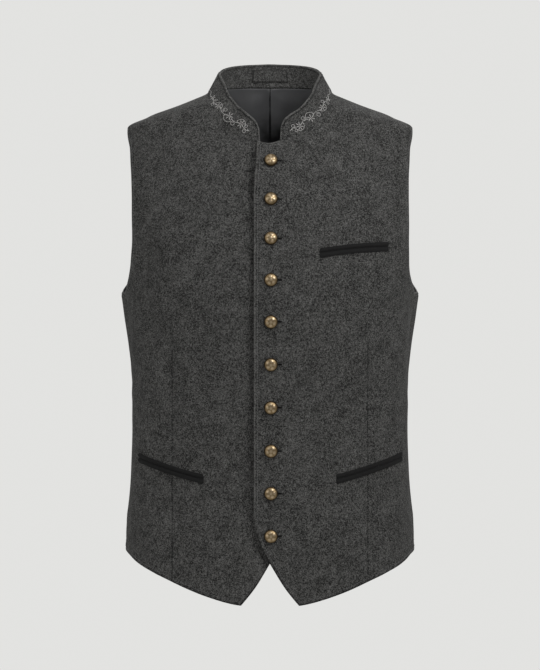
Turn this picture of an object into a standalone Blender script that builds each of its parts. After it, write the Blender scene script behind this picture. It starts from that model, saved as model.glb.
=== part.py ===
"""A man's wool folk waistcoat, worn open-necked and filled out, as its cut and sewn pieces.

Frame: metres, +Z up, the front faces -Y, the wearer's left is +X.
The origin lies between the shoulder seams, half way along them, where the wearer carries it.
Inside the functions every length is in millimetres; meshes are scaled to metres at the end.

The cloth follows one body surface. Each level has a flat oval section with the sizes in
SECTIONS, and a place on the section is a fraction of its length: 0 at the centre front,
1 at the side seam and on the shoulder ridge, 2 at the centre back. A panel is a grid
between its own edges on that surface, given a wall along the surface's normals.
"""
import math

import bmesh
import bpy
import numpy as np
from mathutils import Matrix, Vector

MM = 0.001

# Cloth, gaps and layers
WOOL = 2.2
COLLAR_CLOTH = 1.5
LINING_CLOTH = 0.9
PATCH_CLOTH = 0.8
SEAM_GAP = 0.3
LINING_GAP = 0.55
COLLAR_GAP = 0.55
LAP_GAP = 1.0
LAP_LIFT = WOOL + LAP_GAP
LAP_BLEND_FROM = 20.0
LAP_BLEND = 34.0

# Sections of the body surface, from below the hem to above the neck
SECTION_COLUMNS = ("level", "half_width", "front_depth", "back_depth", "squareness", "flare")
SECTIONS = (
    (-660.0, 181.5, 107.0, 107.0, 2.30, 6.0),
    (-560.0, 181.5, 108.5, 104.0, 2.30, 6.0),
    (-530.0, 181.0, 108.5, 101.0, 2.30, 6.0),
    (-494.0, 178.2, 107.5, 96.5, 2.25, 4.5),
    (-456.0, 176.5, 107.0, 92.0, 2.25, 4.0),
    (-400.0, 176.0, 108.5, 90.0, 2.20, 2.0),
    (-340.0, 176.3, 113.0, 96.0, 2.25, 4.0),
    (-302.0, 177.8, 116.0, 102.5, 2.30, 7.0),
    (-264.0, 181.0, 119.0, 108.5, 2.35, 9.5),
    (-237.0, 184.5, 120.0, 112.0, 2.40, 9.0),
    (-224.0, 184.6, 119.8, 113.5, 2.40, 3.5),
    (-212.0, 185.2, 119.0, 114.5, 2.40, 1.5),
    (-190.0, 187.4, 117.0, 115.5, 2.40, 0.5),
    (-168.0, 188.2, 113.7, 115.5, 2.40, 0.0),
    (-129.0, 189.5, 106.0, 112.0, 2.30, 0.0),
    (-100.0, 189.0, 97.5, 108.0, 2.20, 0.0),
    (-72.0, 187.4, 87.0, 103.5, 2.05, 0.0),
    (-48.0, 185.2, 74.5, 99.0, 2.00, 0.0),
    (-36.0, 184.0, 66.0, 96.0, 2.00, 0.0),
    (-25.0, 182.5, 59.0, 93.0, 2.00, 0.0),
    (-19.0, 177.0, 56.0, 91.0, 2.00, 0.0),
    (-15.0, 165.8, 54.2, 90.1, 2.00, 0.0),
    (-6.7, 147.8, 51.0, 88.0, 2.00, 0.0),
    (2.2, 122.9, 46.0, 85.0, 2.00, 0.0),
    (12.3, 97.3, 37.0, 81.0, 2.00, 0.0),
    (21.0, 79.4, 25.0, 79.5, 2.00, 0.0),
    (27.0, 77.4, 23.0, 77.6, 2.00, 0.0),
    (33.0, 75.6, 22.0, 75.5, 2.00, 0.0),
    (60.0, 70.0, 20.0, 70.0, 2.00, 0.0),
)
FLARE_PLACE = 0.13
ARC_STEPS = 240

# Levels that the panels share
SHOULDER_TIP = -24.5
SIDE_NECK = 21.0
BACK_NECK = 33.0
FRONT_NECK = -46.5
UNDERARM = -236.0
SIDE_HEM = -556.0
BACK_HEM = -559.0

# Front edge, notch and hem
EDGE_REACH = 19.3
EDGE_REACH_TOP = 15.6
EDGE_EASE_FROM = -64.0
EDGE_EASE_TO = -100.0
UNDER_LAP_DROP = 1.5
PLACKET_DIP = 3.6
COLLAR_END = 12.9
NOTCH_TURN = -519.0
NOTCH_SLOPE = 0.75
NOTCH_ROUND = 44.2
NOTCH_EASE = 0.5
TIP_LEVEL = -626.5
TIP_REACH = 34.5
TIP_ROUND = 2.0
TIP_RISE = 0.4
HEM_POWER = 1.35
HEM_SIDE_AIM = -570.5
HEM_TURN_POWER = 8

# Neckline on the fronts, reach and level from the collar end to the side of the neck
NECKLINE = (
    (COLLAR_END, FRONT_NECK),
    (20.0, -46.4),
    (40.3, -38.9),
    (60.7, -22.5),
    (73.8, -0.5),
    (79.4, SIDE_NECK),
)
NECKLINE_SHARES = (0.0, 0.045, 0.12, 0.22, 0.34, 0.47, 0.60, 0.735, 0.87, 1.0)
BACK_NECK_POWER = 1.3

# Armhole seen from the side: how far off the side line at each level, from the shoulder tip down
ARMHOLE_FRONT = (
    (0.0, SHOULDER_TIP),
    (17.4, -45.0),
    (29.3, -72.0),
    (40.6, -100.0),
    (47.3, -129.0),
    (50.5, -168.0),
    (47.5, -195.0),
    (39.0, -214.0),
    (23.0, -228.5),
    (0.0, UNDERARM),
)
ARMHOLE_BACK = (
    (0.0, SHOULDER_TIP),
    (20.0, -45.0),
    (34.0, -72.0),
    (45.0, -100.0),
    (52.0, -129.0),
    (55.0, -168.0),
    (51.0, -192.0),
    (42.5, -211.0),
    (29.0, -225.5),
    (15.0, -233.0),
    (0.0, UNDERARM),
)

# Grid cells of a panel, from the hem up and from the centre to the side
ROWS_NOTCH = 5
ROWS_SIDE = 9
ROWS_CHEST = 6
ROWS_PLACKET = 2
ROWS_NECK = len(NECKLINE_SHARES) - 1
ROWS_ARMHOLE = ROWS_CHEST + ROWS_PLACKET + ROWS_NECK
ROWS_BODY = ROWS_NOTCH + ROWS_SIDE
ACROSS = (0.0, 0.05, 0.12, 0.21, 0.31, 0.42, 0.53, 0.585, 0.625, 0.665, 0.74, 0.83, 0.92, 1.0)

# Rows hang lower between their ends beside the underarm, so that they meet its scoop at an angle
ROW_HANG = 40.0
ROW_HANG_AT = ROWS_BODY + 1.5
ROW_HANG_ROWS = 4.0

# Darts: pressed lines from the chest down to the hem, that stop at the pocket
DART_REACH = 123.0
DART_TOP = -272.0
DART_DEPTH = 1.6
DART_WIDTH = 5.0
DART_FADE = 30.0
DART_PAUSE = -456.0
DART_PAUSE_HALF = 26.0

# Soft folds of the fronts: side, reach, level, half length, half width, depth
FOLDS = (
    (-1, 148.0, -192.0, 46.0, 13.0, 2.6),
    (1, 152.0, -205.0, 34.0, 11.0, 1.6),
    (-1, 96.0, -330.0, 60.0, 17.0, 1.3),
    (1, 100.0, -345.0, 52.0, 15.0, 1.2),
)

# Collar: how its free edge lies from its seam, along the seam from front end to centre back
COLLAR_RISE_CELLS = 4
COLLAR_COLUMNS = ("along", "inward", "backward", "rise")
COLLAR = (
    (0.00, -0.7, 4.0, 16.5),
    (0.027, 0.8, 4.0, 28.0),
    (0.073, 3.4, 4.0, 31.8),
    (0.133, 11.0, 4.0, 30.0),
    (0.205, 16.2, 5.0, 27.0),
    (0.25, 18.0, 6.0, 25.6),
    (0.39, 18.5, 9.5, 22.0),
    (0.58, 12.0, 2.0, 25.0),
    (0.76, 7.0, -3.5, 28.0),
    (1.00, 0.0, -4.0, 30.0),
)
PATCH_CELLS = 4
PATCH_FROM = 0.22
PATCH_TO = 0.80

# Pockets: two lips each. Name, side, then reach and level of the parting's inner and outer end, sag
POCKETS = (
    ("pocket_chest", 1, 62.7, -187.3, 147.7, -178.6, -1.4),
    ("pocket_left", 1, 83.6, -469.1, 165.7, -443.5, 1.6),
    ("pocket_right", -1, 83.6, -469.3, 165.0, -444.5, 1.6),
)
LIP_HEIGHT = 5.0
LIP_PARTING = 0.5
LIP_EDGE = 0.9
LIP_CROWN = 1.5
LIP_GAP = 0.45
LIP_CELLS = 14

# Buttons: ten domed metal buttons with a shank
# Button steps: from each button to the one below, along the slope of the front
BUTTON_FIRST = -72.6
BUTTON_STEPS = (51.2, 49.9, 51.7, 51.5, 53.3, 53.9, 54.3, 53.0, 53.1)
BUTTON_REACH = 1.2
BUTTON_RADIUS = 8.5
BUTTON_SHANK_RADIUS = 2.4
BUTTON_SHANK = 1.6
BUTTON_RIM = 1.3
BUTTON_DOME = 3.9
BUTTON_SIDES = 14
BUTTON_DOME_STEPS = 3
BUTTON_GAP = 0.45

# Backs: the lining lies inside them and parts at a centre pleat
LINING_PLEAT = 3.0
LINING_PLEAT_WIDTH = 9.0
LINING_DROP = 0.8

# Fineness of the working curves
SLOPE_STEP_ALONG = 0.006
SLOPE_STEP_LEVEL = 0.8
PATH_STEPS = 400
LEVEL_STEPS = 600
SHARP_ANGLE = 40.0


def table(rows, columns, name):
    """One named column of a table, as an array."""
    return np.array([row[columns.index(name)] for row in rows], dtype=float)


def through(knots, values, places):
    """A curve through the values at the knots that never swings past them."""
    steps = np.diff(knots)
    rates = np.diff(values) / steps
    slopes = np.empty(len(knots))
    slopes[0] = rates[0]
    slopes[-1] = rates[-1]
    before = rates[:-1]
    after = rates[1:]
    same_way = before * after > 0
    total = np.where(same_way, before + after, 1.0)
    slopes[1:-1] = np.where(same_way, 2 * before * after / total, 0.0)
    places = np.asarray(places, dtype=float)
    index = np.clip(np.searchsorted(knots, places) - 1, 0, len(knots) - 2)
    step = steps[index]
    part = np.clip((places - knots[index]) / step, 0.0, 1.0)
    square = part * part
    cube = square * part
    return (
        (2 * cube - 3 * square + 1) * values[index]
        + (cube - 2 * square + part) * step * slopes[index]
        + (3 * square - 2 * cube) * values[index + 1]
        + (cube - square) * step * slopes[index + 1]
    )


def section(name, levels):
    """A size of the section at each level."""
    return through(
        table(SECTIONS, SECTION_COLUMNS, "level"),
        table(SECTIONS, SECTION_COLUMNS, name),
        levels,
    )


def quarter(levels, depth):
    """Quarter sections from the centre line to the side: across, deep, share and length."""
    angle = np.linspace(0.0, math.pi / 2, ARC_STEPS)
    power = (2.0 / section("squareness", levels))[:, None]
    across = section("half_width", levels)[:, None] * np.sin(angle)[None, :] ** power
    deep = depth[:, None] * np.maximum(np.cos(angle), 0.0)[None, :] ** power
    pieces = np.hypot(np.diff(across, axis=1), np.diff(deep, axis=1))
    length = np.concatenate([np.zeros((len(levels), 1)), np.cumsum(pieces, axis=1)], axis=1)
    return across, deep, length / length[:, -1:], length[:, -1]


def half_seam(levels, back):
    """Half a seam's gap as a fraction of the section at these levels."""
    levels = np.atleast_1d(np.asarray(levels, dtype=float))
    depth = section("back_depth" if back else "front_depth", levels)
    return SEAM_GAP / 2 / quarter(levels, depth)[3]


def look_up(keys, wanted, *found):
    """Row by row, the values found where the rising keys reach the wanted value."""
    rows = np.arange(len(wanted))
    index = np.clip((keys < wanted[:, None]).sum(axis=1), 1, keys.shape[1] - 1)
    low = keys[rows, index - 1]
    high = keys[rows, index]
    part = np.clip((wanted - low) / np.maximum(high - low, 1e-9), 0.0, 1.0)
    return [value[rows, index - 1] * (1 - part) + value[rows, index] * part for value in found]


def along_at_reach(reach, levels):
    """The fraction on the front where the section is this far from the centre line."""
    reach = np.atleast_1d(np.asarray(reach, dtype=float))
    levels = np.broadcast_to(np.asarray(levels, dtype=float), reach.shape)
    across, _, share, _ = quarter(levels, section("front_depth", levels))
    return look_up(across, np.abs(reach), share)[0] * np.sign(reach)


def along_at_side(from_side, levels, back):
    """The fraction where the section is this far in front of, or behind, the side line."""
    from_side = np.atleast_1d(np.asarray(from_side, dtype=float))
    levels = np.broadcast_to(np.asarray(levels, dtype=float), from_side.shape)
    depth = section("back_depth" if back else "front_depth", levels)
    _, deep, share, _ = quarter(levels, depth)
    found = look_up(-deep, -from_side, share)[0]
    return 2.0 - found if back else found


def body(along, levels):
    """Points of the plain body surface on the +X side."""
    size = np.abs(along)
    front = size <= 1.0
    depth = np.where(front, section("front_depth", levels), section("back_depth", levels))
    across, deep, share, _ = quarter(levels, depth)
    across, deep = look_up(share, np.where(front, size, 2.0 - size), across, deep)
    behind = np.clip(size - 1.0, 0.0, None) / FLARE_PLACE
    across = across + section("flare", levels) * behind ** 2 * np.exp(2.0 * (1.0 - behind))
    return np.stack([across * np.sign(along), np.where(front, -deep, deep), levels], axis=1)


def smooth_step(value):
    part = np.clip(value, 0.0, 1.0)
    return part * part * (3.0 - 2.0 * part)


def relief(points, side, kind):
    """How far the cloth stands out of the body surface, by its place."""
    reach = points[:, 0]
    level = points[:, 2]
    lift = np.zeros(len(points))
    if kind == "front":
        if side > 0:
            lift += LAP_LIFT * (1.0 - smooth_step((reach - LAP_BLEND_FROM) / LAP_BLEND))
        dart = np.exp(-((reach - DART_REACH) / DART_WIDTH) ** 2)
        dart = dart * smooth_step((DART_TOP - level) / DART_FADE)
        near_pocket = 1.0 - np.abs(level - DART_PAUSE) / DART_PAUSE_HALF
        lift -= DART_DEPTH * dart * (1.0 - smooth_step(2.0 * near_pocket))
        for fold_side, at, height, half_length, half_width, depth in FOLDS:
            if fold_side == side:
                across = np.exp(-((reach - at) / half_width) ** 2)
                lift -= depth * across * np.exp(-((level - height) / half_length) ** 2)
    if kind == "lining":
        lift -= LINING_PLEAT * np.exp(-(reach / LINING_PLEAT_WIDTH) ** 2)
    return lift


def raw_surface(along, levels, side, kind):
    """Cloth points with their relief, on the +X side of the frame."""
    points = body(along, levels)
    lift = relief(points, side, kind)
    if not lift.any():
        return points
    outward = slopes(along, levels, body)
    return points + outward * lift[:, None]


def slopes(along, levels, surface):
    """Outward unit normals of a surface by small steps along it and up it."""
    ahead = surface(along + SLOPE_STEP_ALONG, levels) - surface(along - SLOPE_STEP_ALONG, levels)
    above = surface(along, levels + SLOPE_STEP_LEVEL) - surface(along, levels - SLOPE_STEP_LEVEL)
    normal = np.cross(ahead, above)
    return normal / np.linalg.norm(normal, axis=1)[:, None]


def cloth(along, levels, side, kind):
    """Points and outward normals of the cloth, with the wearer's right side mirrored."""
    along = np.asarray(along, dtype=float).ravel()
    levels = np.asarray(levels, dtype=float).ravel()
    points = raw_surface(along, levels, side, kind)
    outward = slopes(along, levels, lambda a, v: raw_surface(a, v, side, kind))
    mirror = np.array([side, 1.0, 1.0])
    return points * mirror, outward * mirror


def evenly(cells):
    """Shares of a length at equal steps, ends included."""
    return np.linspace(0.0, 1.0, cells + 1)


def spread(path, shares):
    """Places at these shares of the length of a smooth path through points."""
    path = np.array(path, dtype=float)
    chord = np.concatenate([[0.0], np.cumsum(np.linalg.norm(np.diff(path, axis=0), axis=1))])
    fine = np.linspace(0.0, chord[-1], PATH_STEPS)
    curve = np.stack([through(chord, path[:, k], fine) for k in range(path.shape[1])], axis=1)
    length = np.concatenate([[0.0], np.cumsum(np.linalg.norm(np.diff(curve, axis=0), axis=1))])
    places = np.array(shares) * length[-1]
    return np.stack([np.interp(places, length, curve[:, k]) for k in range(curve.shape[1])], axis=1)


def joined(*stretches):
    """Stretches of an edge put end to end, each but the last without its last point."""
    return np.concatenate([part[:-1] for part in stretches[:-1]] + [stretches[-1]])


def edge_reach(level):
    """How far past the centre a front's edge reaches, with the notch towards the tip."""
    ease = smooth_step((EDGE_EASE_FROM - level) / (EDGE_EASE_FROM - EDGE_EASE_TO))
    straight = -(EDGE_REACH_TOP + (EDGE_REACH - EDGE_REACH_TOP) * ease)
    below = np.clip(NOTCH_TURN - level, 0.0, None)
    return straight + NOTCH_SLOPE * (np.hypot(below, NOTCH_ROUND) - NOTCH_ROUND)


def on_front(reach_and_level):
    """Turns places given by reach and level into places along the section."""
    reach = reach_and_level[:, 0]
    level = reach_and_level[:, 1]
    return np.stack([along_at_reach(reach, level), level], axis=1)


def side_edge(back):
    """Side seam and armhole, from the hem to the shoulder tip."""
    low = np.linspace(SIDE_HEM, NOTCH_TURN, ROWS_NOTCH + 1)
    side = np.linspace(NOTCH_TURN, UNDERARM, ROWS_SIDE + 1)
    levels = joined(low, side)
    seam = np.stack([np.ones(len(levels)), levels], axis=1)
    armhole = spread(ARMHOLE_BACK if back else ARMHOLE_FRONT, evenly(ROWS_ARMHOLE))[::-1]
    armhole = np.stack([along_at_side(armhole[:, 0], armhole[:, 1], back), armhole[:, 1]], axis=1)
    edge = joined(seam, armhole)
    clear = half_seam(edge[:, 1], back)
    if back:
        edge[:, 0] = np.maximum(edge[:, 0], 1.0 + clear)
    else:
        edge[:, 0] = np.minimum(edge[:, 0], 1.0 - clear)
    return edge


def front_edge(side):
    """Notch, front edge, placket top and neckline, from the tip to the side of the neck."""
    top = FRONT_NECK if side > 0 else FRONT_NECK - UNDER_LAP_DROP
    levels = np.linspace(TIP_LEVEL, NOTCH_TURN, ROWS_NOTCH + 1)
    notch = np.stack([edge_reach(levels), levels], axis=1)
    notch[0] = (TIP_REACH + TIP_ROUND, TIP_LEVEL + TIP_RISE)
    notch[1, 0] -= NOTCH_EASE
    levels = np.linspace(NOTCH_TURN, UNDERARM, ROWS_SIDE + 1)
    low = np.stack([edge_reach(levels), levels], axis=1)
    levels = np.linspace(UNDERARM, top, ROWS_CHEST + 1)
    high = np.stack([edge_reach(levels), levels], axis=1)
    corner = (edge_reach(np.array([top]))[0], top)
    dip = ((corner[0] + COLLAR_END) / 2, top - PLACKET_DIP)
    placket = spread((corner, dip, (COLLAR_END, FRONT_NECK)), evenly(ROWS_PLACKET))
    neck = spread(NECKLINE, NECKLINE_SHARES)
    edge = on_front(joined(notch, low, high, placket, neck))
    edge[-1, 0] = 1.0 - half_seam(SIDE_NECK, False)[0]
    return edge


def back_edge():
    """Centre back seam and back neckline, from the hem to the side of the neck."""
    rows = ROWS_BODY + ROWS_CHEST + ROWS_PLACKET
    levels = np.linspace(BACK_HEM, BACK_NECK, rows + 1)
    seam = np.stack([2.0 - half_seam(levels, True), levels], axis=1)
    return joined(seam, back_neckline(seam[-1, 0], ROWS_NECK))


def back_neckline(centre, cells):
    """The back neckline falls softly from the centre back to the side of the neck."""
    part = evenly(cells)
    fall = 1.0 - np.cos(part * math.pi / 2)
    side_at = 1.0 + half_seam(SIDE_NECK, True)[0]
    along = centre + (side_at - centre) * part
    return np.stack([along, BACK_NECK + (SIDE_NECK - BACK_NECK) * fall ** BACK_NECK_POWER], axis=1)


def front_hem(edge, side):
    """The front hem rises from the tip towards the side and turns up at the side seam."""
    along = edge[0, 0] + (side[0, 0] - edge[0, 0]) * np.array(ACROSS)
    reach = np.abs(body(along, np.full(len(along), TIP_LEVEL))[:, 0])
    part = np.clip((reach - reach[0]) / (reach[-1] - reach[0]), 0.0, 1.0)
    levels = edge[0, 1] + (HEM_SIDE_AIM - edge[0, 1]) * part ** HEM_POWER
    levels += (SIDE_HEM - HEM_SIDE_AIM) * np.array(ACROSS) ** HEM_TURN_POWER
    return np.stack([along, levels], axis=1)


def straight(start, end):
    """A straight edge divided as a panel is across."""
    part = np.array(ACROSS)[:, None]
    return start[None, :] * (1 - part) + end[None, :] * part


def fill(bottom, top, inner, outer):
    """The grid between four edges: every row and column blends the edges beside it."""
    up = np.linspace(0.0, 1.0, len(inner))[:, None, None]
    over = np.array(ACROSS)[None, :, None]
    rows = inner[:, None, :] * (1 - over) + outer[:, None, :] * over
    columns = bottom[None, :, :] * (1 - up) + top[None, :, :] * up
    corners = (
        inner[0] * (1 - over) * (1 - up)
        + outer[0] * over * (1 - up)
        + inner[-1] * (1 - over) * up
        + outer[-1] * over * up
    )
    grid = rows + columns - corners
    share = np.array(ACROSS)
    hang = np.exp(-((np.arange(len(inner)) - ROW_HANG_AT) / ROW_HANG_ROWS) ** 2)
    grid[:, :, 1] -= ROW_HANG * hang[:, None] * (4 * share * (1 - share))[None, :]
    return grid


def front_grid(side):
    edge = front_edge(side)
    outer = side_edge(False)
    return fill(front_hem(edge, outer), straight(edge[-1], outer[-1]), edge, outer)


def back_grid():
    edge = back_edge()
    outer = side_edge(True)
    return fill(straight(edge[0], outer[0]), straight(edge[-1], outer[-1]), edge, outer)


def material(name, colour, roughness, metallic=0.0):
    found = bpy.data.materials.get(name)
    if found:
        return found
    made = bpy.data.materials.new(name)
    made.use_nodes = True
    shader = made.node_tree.nodes["Principled BSDF"]
    shader.inputs["Base Color"].default_value = (*colour, 1.0)
    shader.inputs["Roughness"].default_value = roughness
    shader.inputs["Metallic"].default_value = metallic
    made.diffuse_color = (*colour, 1.0)
    return made


def wool():
    return material("charcoal_wool", (0.052, 0.051, 0.049), 0.92)


def satin():
    return material("lining_satin", (0.028, 0.029, 0.029), 0.45)


def black_felt():
    return material("black_felt", (0.017, 0.017, 0.016), 0.85)


def brass():
    return material("antique_brass", (0.36, 0.27, 0.16), 0.38, 0.9)


def add_object(name, mesh_data, finish):
    """Turns a finished bmesh into an object with one material and soft shading."""
    mesh = bpy.data.meshes.new(name)
    bmesh.ops.recalc_face_normals(mesh_data, faces=mesh_data.faces)
    if mesh_data.calc_volume(signed=True) < 0:
        bmesh.ops.reverse_faces(mesh_data, faces=mesh_data.faces)
    bmesh.ops.scale(mesh_data, vec=Vector((MM, MM, MM)), verts=mesh_data.verts)
    mesh_data.to_mesh(mesh)
    mesh_data.free()
    mesh.materials.append(finish)
    mesh.shade_smooth()
    mesh.set_sharp_from_angle(angle=math.radians(SHARP_ANGLE))
    made = bpy.data.objects.new(name, mesh)
    bpy.context.scene.collection.objects.link(made)
    return made


def wall(name, outside, inside, finish):
    """A closed cloth wall between two grids of points that match row by row."""
    rows, columns = outside.shape[:2]
    sheet = bmesh.new()
    bmesh.ops.create_grid(sheet, x_segments=columns - 1, y_segments=rows - 1, size=1.0)
    bmesh.ops.triangulate(sheet, faces=sheet.faces, quad_method="FIXED")
    first = set(sheet.verts)
    bmesh.ops.extrude_face_region(sheet, geom=sheet.faces[:], use_keep_orig=True)
    for vert in sheet.verts:
        row = round((vert.co.y + 1.0) / 2.0 * (rows - 1))
        column = round((vert.co.x + 1.0) / 2.0 * (columns - 1))
        vert.co = Vector((outside if vert in first else inside)[row, column])
    return add_object(name, sheet, finish)


def panel(name, grid, side, kind, start, end, finish):
    """A panel's wall between two depths under the cloth surface."""
    points, outward = cloth(grid[:, :, 0], grid[:, :, 1], side, kind)
    shape = grid.shape[:2] + (3,)
    outside = (points - outward * start).reshape(shape)
    inside = (points - outward * end).reshape(shape)
    if kind == "lining":
        for face in (outside, inside):
            draw_back(face)
    return wall(name, outside, inside, finish)


def draw_back(face):
    """Draws the neckline of a lining a little way into its own facets, clear of the collar."""
    edge = face[-ROWS_NECK - 1:, 0]
    into = face[-ROWS_NECK - 1:, 1] - edge
    edge += into / np.linalg.norm(into, axis=1)[:, None] * LINING_DROP


def make_fronts():
    panel("front_left", front_grid(1), 1, "front", 0.0, WOOL, wool())
    panel("front_right", front_grid(-1), -1, "front", 0.0, WOOL, wool())


def make_backs():
    grid = back_grid()
    lining_start = WOOL + LINING_GAP
    lining_end = lining_start + LINING_CLOTH
    for side, word in ((1, "left"), (-1, "right")):
        panel("back_" + word, grid, side, "back", 0.0, WOOL, wool())
        panel("lining_" + word, grid, side, "lining", lining_start, lining_end, satin())


def collar_seam(side):
    """Neckline corners of the front and the back, from the collar's front end to the back."""
    front = on_front(spread(NECKLINE, NECKLINE_SHARES))
    front[-1, 0] = 1.0
    back = back_neckline(2.0, ROWS_NECK)[::-1]
    on_the_front = cloth(front[:, 0], front[:, 1], side, "front")
    on_the_back = cloth(back[:, 0], back[:, 1], side, "back")
    return joined(on_the_front[0], on_the_back[0]), joined(on_the_front[1], on_the_back[1])


def collar_half(side):
    """One half of the collar's outer face as a grid, with the cloth's slope at its seam."""
    seam, facing = collar_seam(side)
    length = np.concatenate([[0.0], np.cumsum(np.linalg.norm(np.diff(seam, axis=0), axis=1))])
    place = length / length[-1]
    stations = table(COLLAR, COLLAR_COLUMNS, "along")
    inward, backward, rise = [
        through(stations, table(COLLAR, COLLAR_COLUMNS, name), place) for name in COLLAR_COLUMNS[1:]
    ]
    reach = np.stack([-side * inward, backward, rise], axis=1)
    start = (COLLAR_GAP / np.linalg.norm(reach, axis=1))[None, :, None]
    up = evenly(COLLAR_RISE_CELLS)[:, None, None]
    return seam[None, :, :] + reach[None, :, :] * (start + up * (1.0 - start)), facing


def collar_grid():
    """Grid of the collar's outer face, right end to left end, and its outward normals."""
    right, right_facing = collar_half(-1)
    left, left_facing = collar_half(1)
    points = np.concatenate([right[:, :-1], left[:, ::-1]], axis=1)
    facing = np.concatenate([right_facing[:-1], left_facing[::-1]])
    ahead = np.gradient(points, axis=1)
    above = np.gradient(points, axis=0)
    outward = np.cross(above, ahead)
    outward = outward / np.linalg.norm(outward, axis=2)[:, :, None]
    upward = np.cross(ahead[0], facing)
    upward = upward / np.linalg.norm(upward, axis=1)[:, None]
    upward = upward * np.sign(upward[:, 2:3])
    tilt = np.maximum((outward[0] * upward).sum(axis=1), 0.0)[:, None]
    outward[0] = outward[0] - upward * tilt
    outward[0] = outward[0] / np.linalg.norm(outward[0], axis=1)[:, None]
    return points, outward


def make_collar():
    points, outward = collar_grid()
    inner_start = COLLAR_CLOTH + SEAM_GAP
    inner_end = inner_start + COLLAR_CLOTH
    wall("collar_outer", points, points - outward * COLLAR_CLOTH, wool())
    wall("collar_inner", points - outward * inner_start, points - outward * inner_end, wool())
    middle = points.shape[1] // 2
    across = slice(middle - PATCH_CELLS // 2, middle + PATCH_CELLS // 2 + 1)
    low = points[0, across] - outward[0, across] * inner_end
    high = points[-1, across] - outward[-1, across] * inner_end
    under = np.stack([low + (high - low) * part for part in (PATCH_FROM, PATCH_TO)])
    facing = np.stack([outward[1, across], outward[-2, across]])
    start = under - facing * SEAM_GAP
    wall("collar_patch", start, start - facing * PATCH_CLOTH, wool())


def lip_profile(low, high):
    """Outline of a lip across its length: level offset and height over the panel."""
    middle = (low + high) / 2
    return (
        (low, LIP_GAP),
        (low, LIP_GAP + LIP_EDGE),
        (middle, LIP_GAP + LIP_CROWN),
        (high, LIP_GAP + LIP_EDGE),
        (high, LIP_GAP),
    )


def make_lip(name, pocket, low, high):
    """A pocket lip: its outline is carried along the pocket's line on the front's own surface."""
    side, inner_reach, inner_level, outer_reach, outer_level, sag = pocket[1:]
    part = evenly(LIP_CELLS)
    reach = inner_reach + (outer_reach - inner_reach) * part
    level = inner_level + (outer_level - inner_level) * part - sag * 4 * part * (1 - part)
    rings = []
    for offset, height in lip_profile(low, high):
        at = level + offset
        points, outward = cloth(along_at_reach(reach, at), at, side, "front")
        rings.append(points + outward * height)
    rings = np.stack(rings, axis=1)
    strip = bmesh.new()
    ring = [strip.verts.new(place) for place in rings[0]]
    face = strip.faces.new(ring)
    for place in rings[1:]:
        grown = bmesh.ops.extrude_discrete_faces(strip, faces=[face])["faces"][0]
        for vert, co in zip(grown.verts, place):
            vert.co = Vector(co)
        face = grown
    strip.faces.new(list(reversed(ring)))
    bmesh.ops.remove_doubles(strip, verts=strip.verts, dist=0.001)
    return add_object(name, strip, black_felt())


def make_pockets():
    half = LIP_PARTING / 2
    for pocket in POCKETS:
        make_lip(pocket[0] + "_upper_lip", pocket, half, half + LIP_HEIGHT)
        make_lip(pocket[0] + "_lower_lip", pocket, -half - LIP_HEIGHT, -half)


def button_levels():
    """Levels of the buttons, each a step below the last along the slope of the front."""
    levels = np.linspace(BUTTON_FIRST, TIP_LEVEL, LEVEL_STEPS)
    deep = section("front_depth", levels)
    length = np.concatenate([[0.0], np.cumsum(np.hypot(np.diff(levels), np.diff(deep)))])
    return np.interp(np.cumsum((0.0,) + BUTTON_STEPS), length, levels)


def make_button(name, place, outward):
    """A domed button and its shank, spun about its own axis and set on the cloth."""
    profile = [(0.0, 0.0), (BUTTON_SHANK_RADIUS, 0.0), (BUTTON_SHANK_RADIUS, BUTTON_SHANK)]
    profile.append((BUTTON_RADIUS, BUTTON_SHANK))
    for step in range(BUTTON_DOME_STEPS + 1):
        angle = math.pi / 2 * step / BUTTON_DOME_STEPS
        height = BUTTON_SHANK + BUTTON_RIM + BUTTON_DOME * math.sin(angle)
        profile.append((BUTTON_RADIUS * math.cos(angle), height))
    body_mesh = bmesh.new()
    verts = [body_mesh.verts.new((radius, 0.0, height)) for radius, height in profile]
    for first, second in zip(verts, verts[1:]):
        body_mesh.edges.new((first, second))
    bmesh.ops.spin(
        body_mesh, geom=body_mesh.verts[:] + body_mesh.edges[:], cent=(0, 0, 0), axis=(0, 0, 1),
        dvec=(0, 0, 0), angle=2 * math.pi, steps=BUTTON_SIDES, use_merge=True,
    )
    bmesh.ops.remove_doubles(body_mesh, verts=body_mesh.verts, dist=0.01)
    turn = Vector((0, 0, 1)).rotation_difference(Vector(outward)).to_matrix().to_4x4()
    seat = Vector(place) + Vector(outward) * BUTTON_GAP
    bmesh.ops.transform(body_mesh, matrix=Matrix.Translation(seat) @ turn, verts=body_mesh.verts)
    return add_object(name, body_mesh, brass())


def make_buttons():
    levels = button_levels()
    along = along_at_reach(np.full(len(levels), BUTTON_REACH), levels)
    points, outward = cloth(along, levels, 1, "front")
    for number, (place, way) in enumerate(zip(points, outward), start=1):
        make_button("button_%02d" % number, place, way)


def main():
    for old in list(bpy.data.objects):
        bpy.data.objects.remove(old, do_unlink=True)
    make_fronts()
    make_backs()
    make_collar()
    make_pockets()
    make_buttons()


main()
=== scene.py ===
# %% [markdown]
# # A man's charcoal wool folk vest
#
# The vest is a sleeveless waistcoat of fulled wool with a stand collar, ten brass buttons and
# black felt pocket lips. It stands filled out, in its worn form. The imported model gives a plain
# solid for every cut piece. This script dresses those solids: each cloth wall becomes a smooth,
# softly creased shell of the same size, and sewing, thread and metal are laid on it.

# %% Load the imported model
import math

import bmesh
import bpy
import numpy as np
from mathutils import Matrix, Vector, noise
from mathutils.bvhtree import BVHTree
from mathutils.kdtree import KDTree


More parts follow.
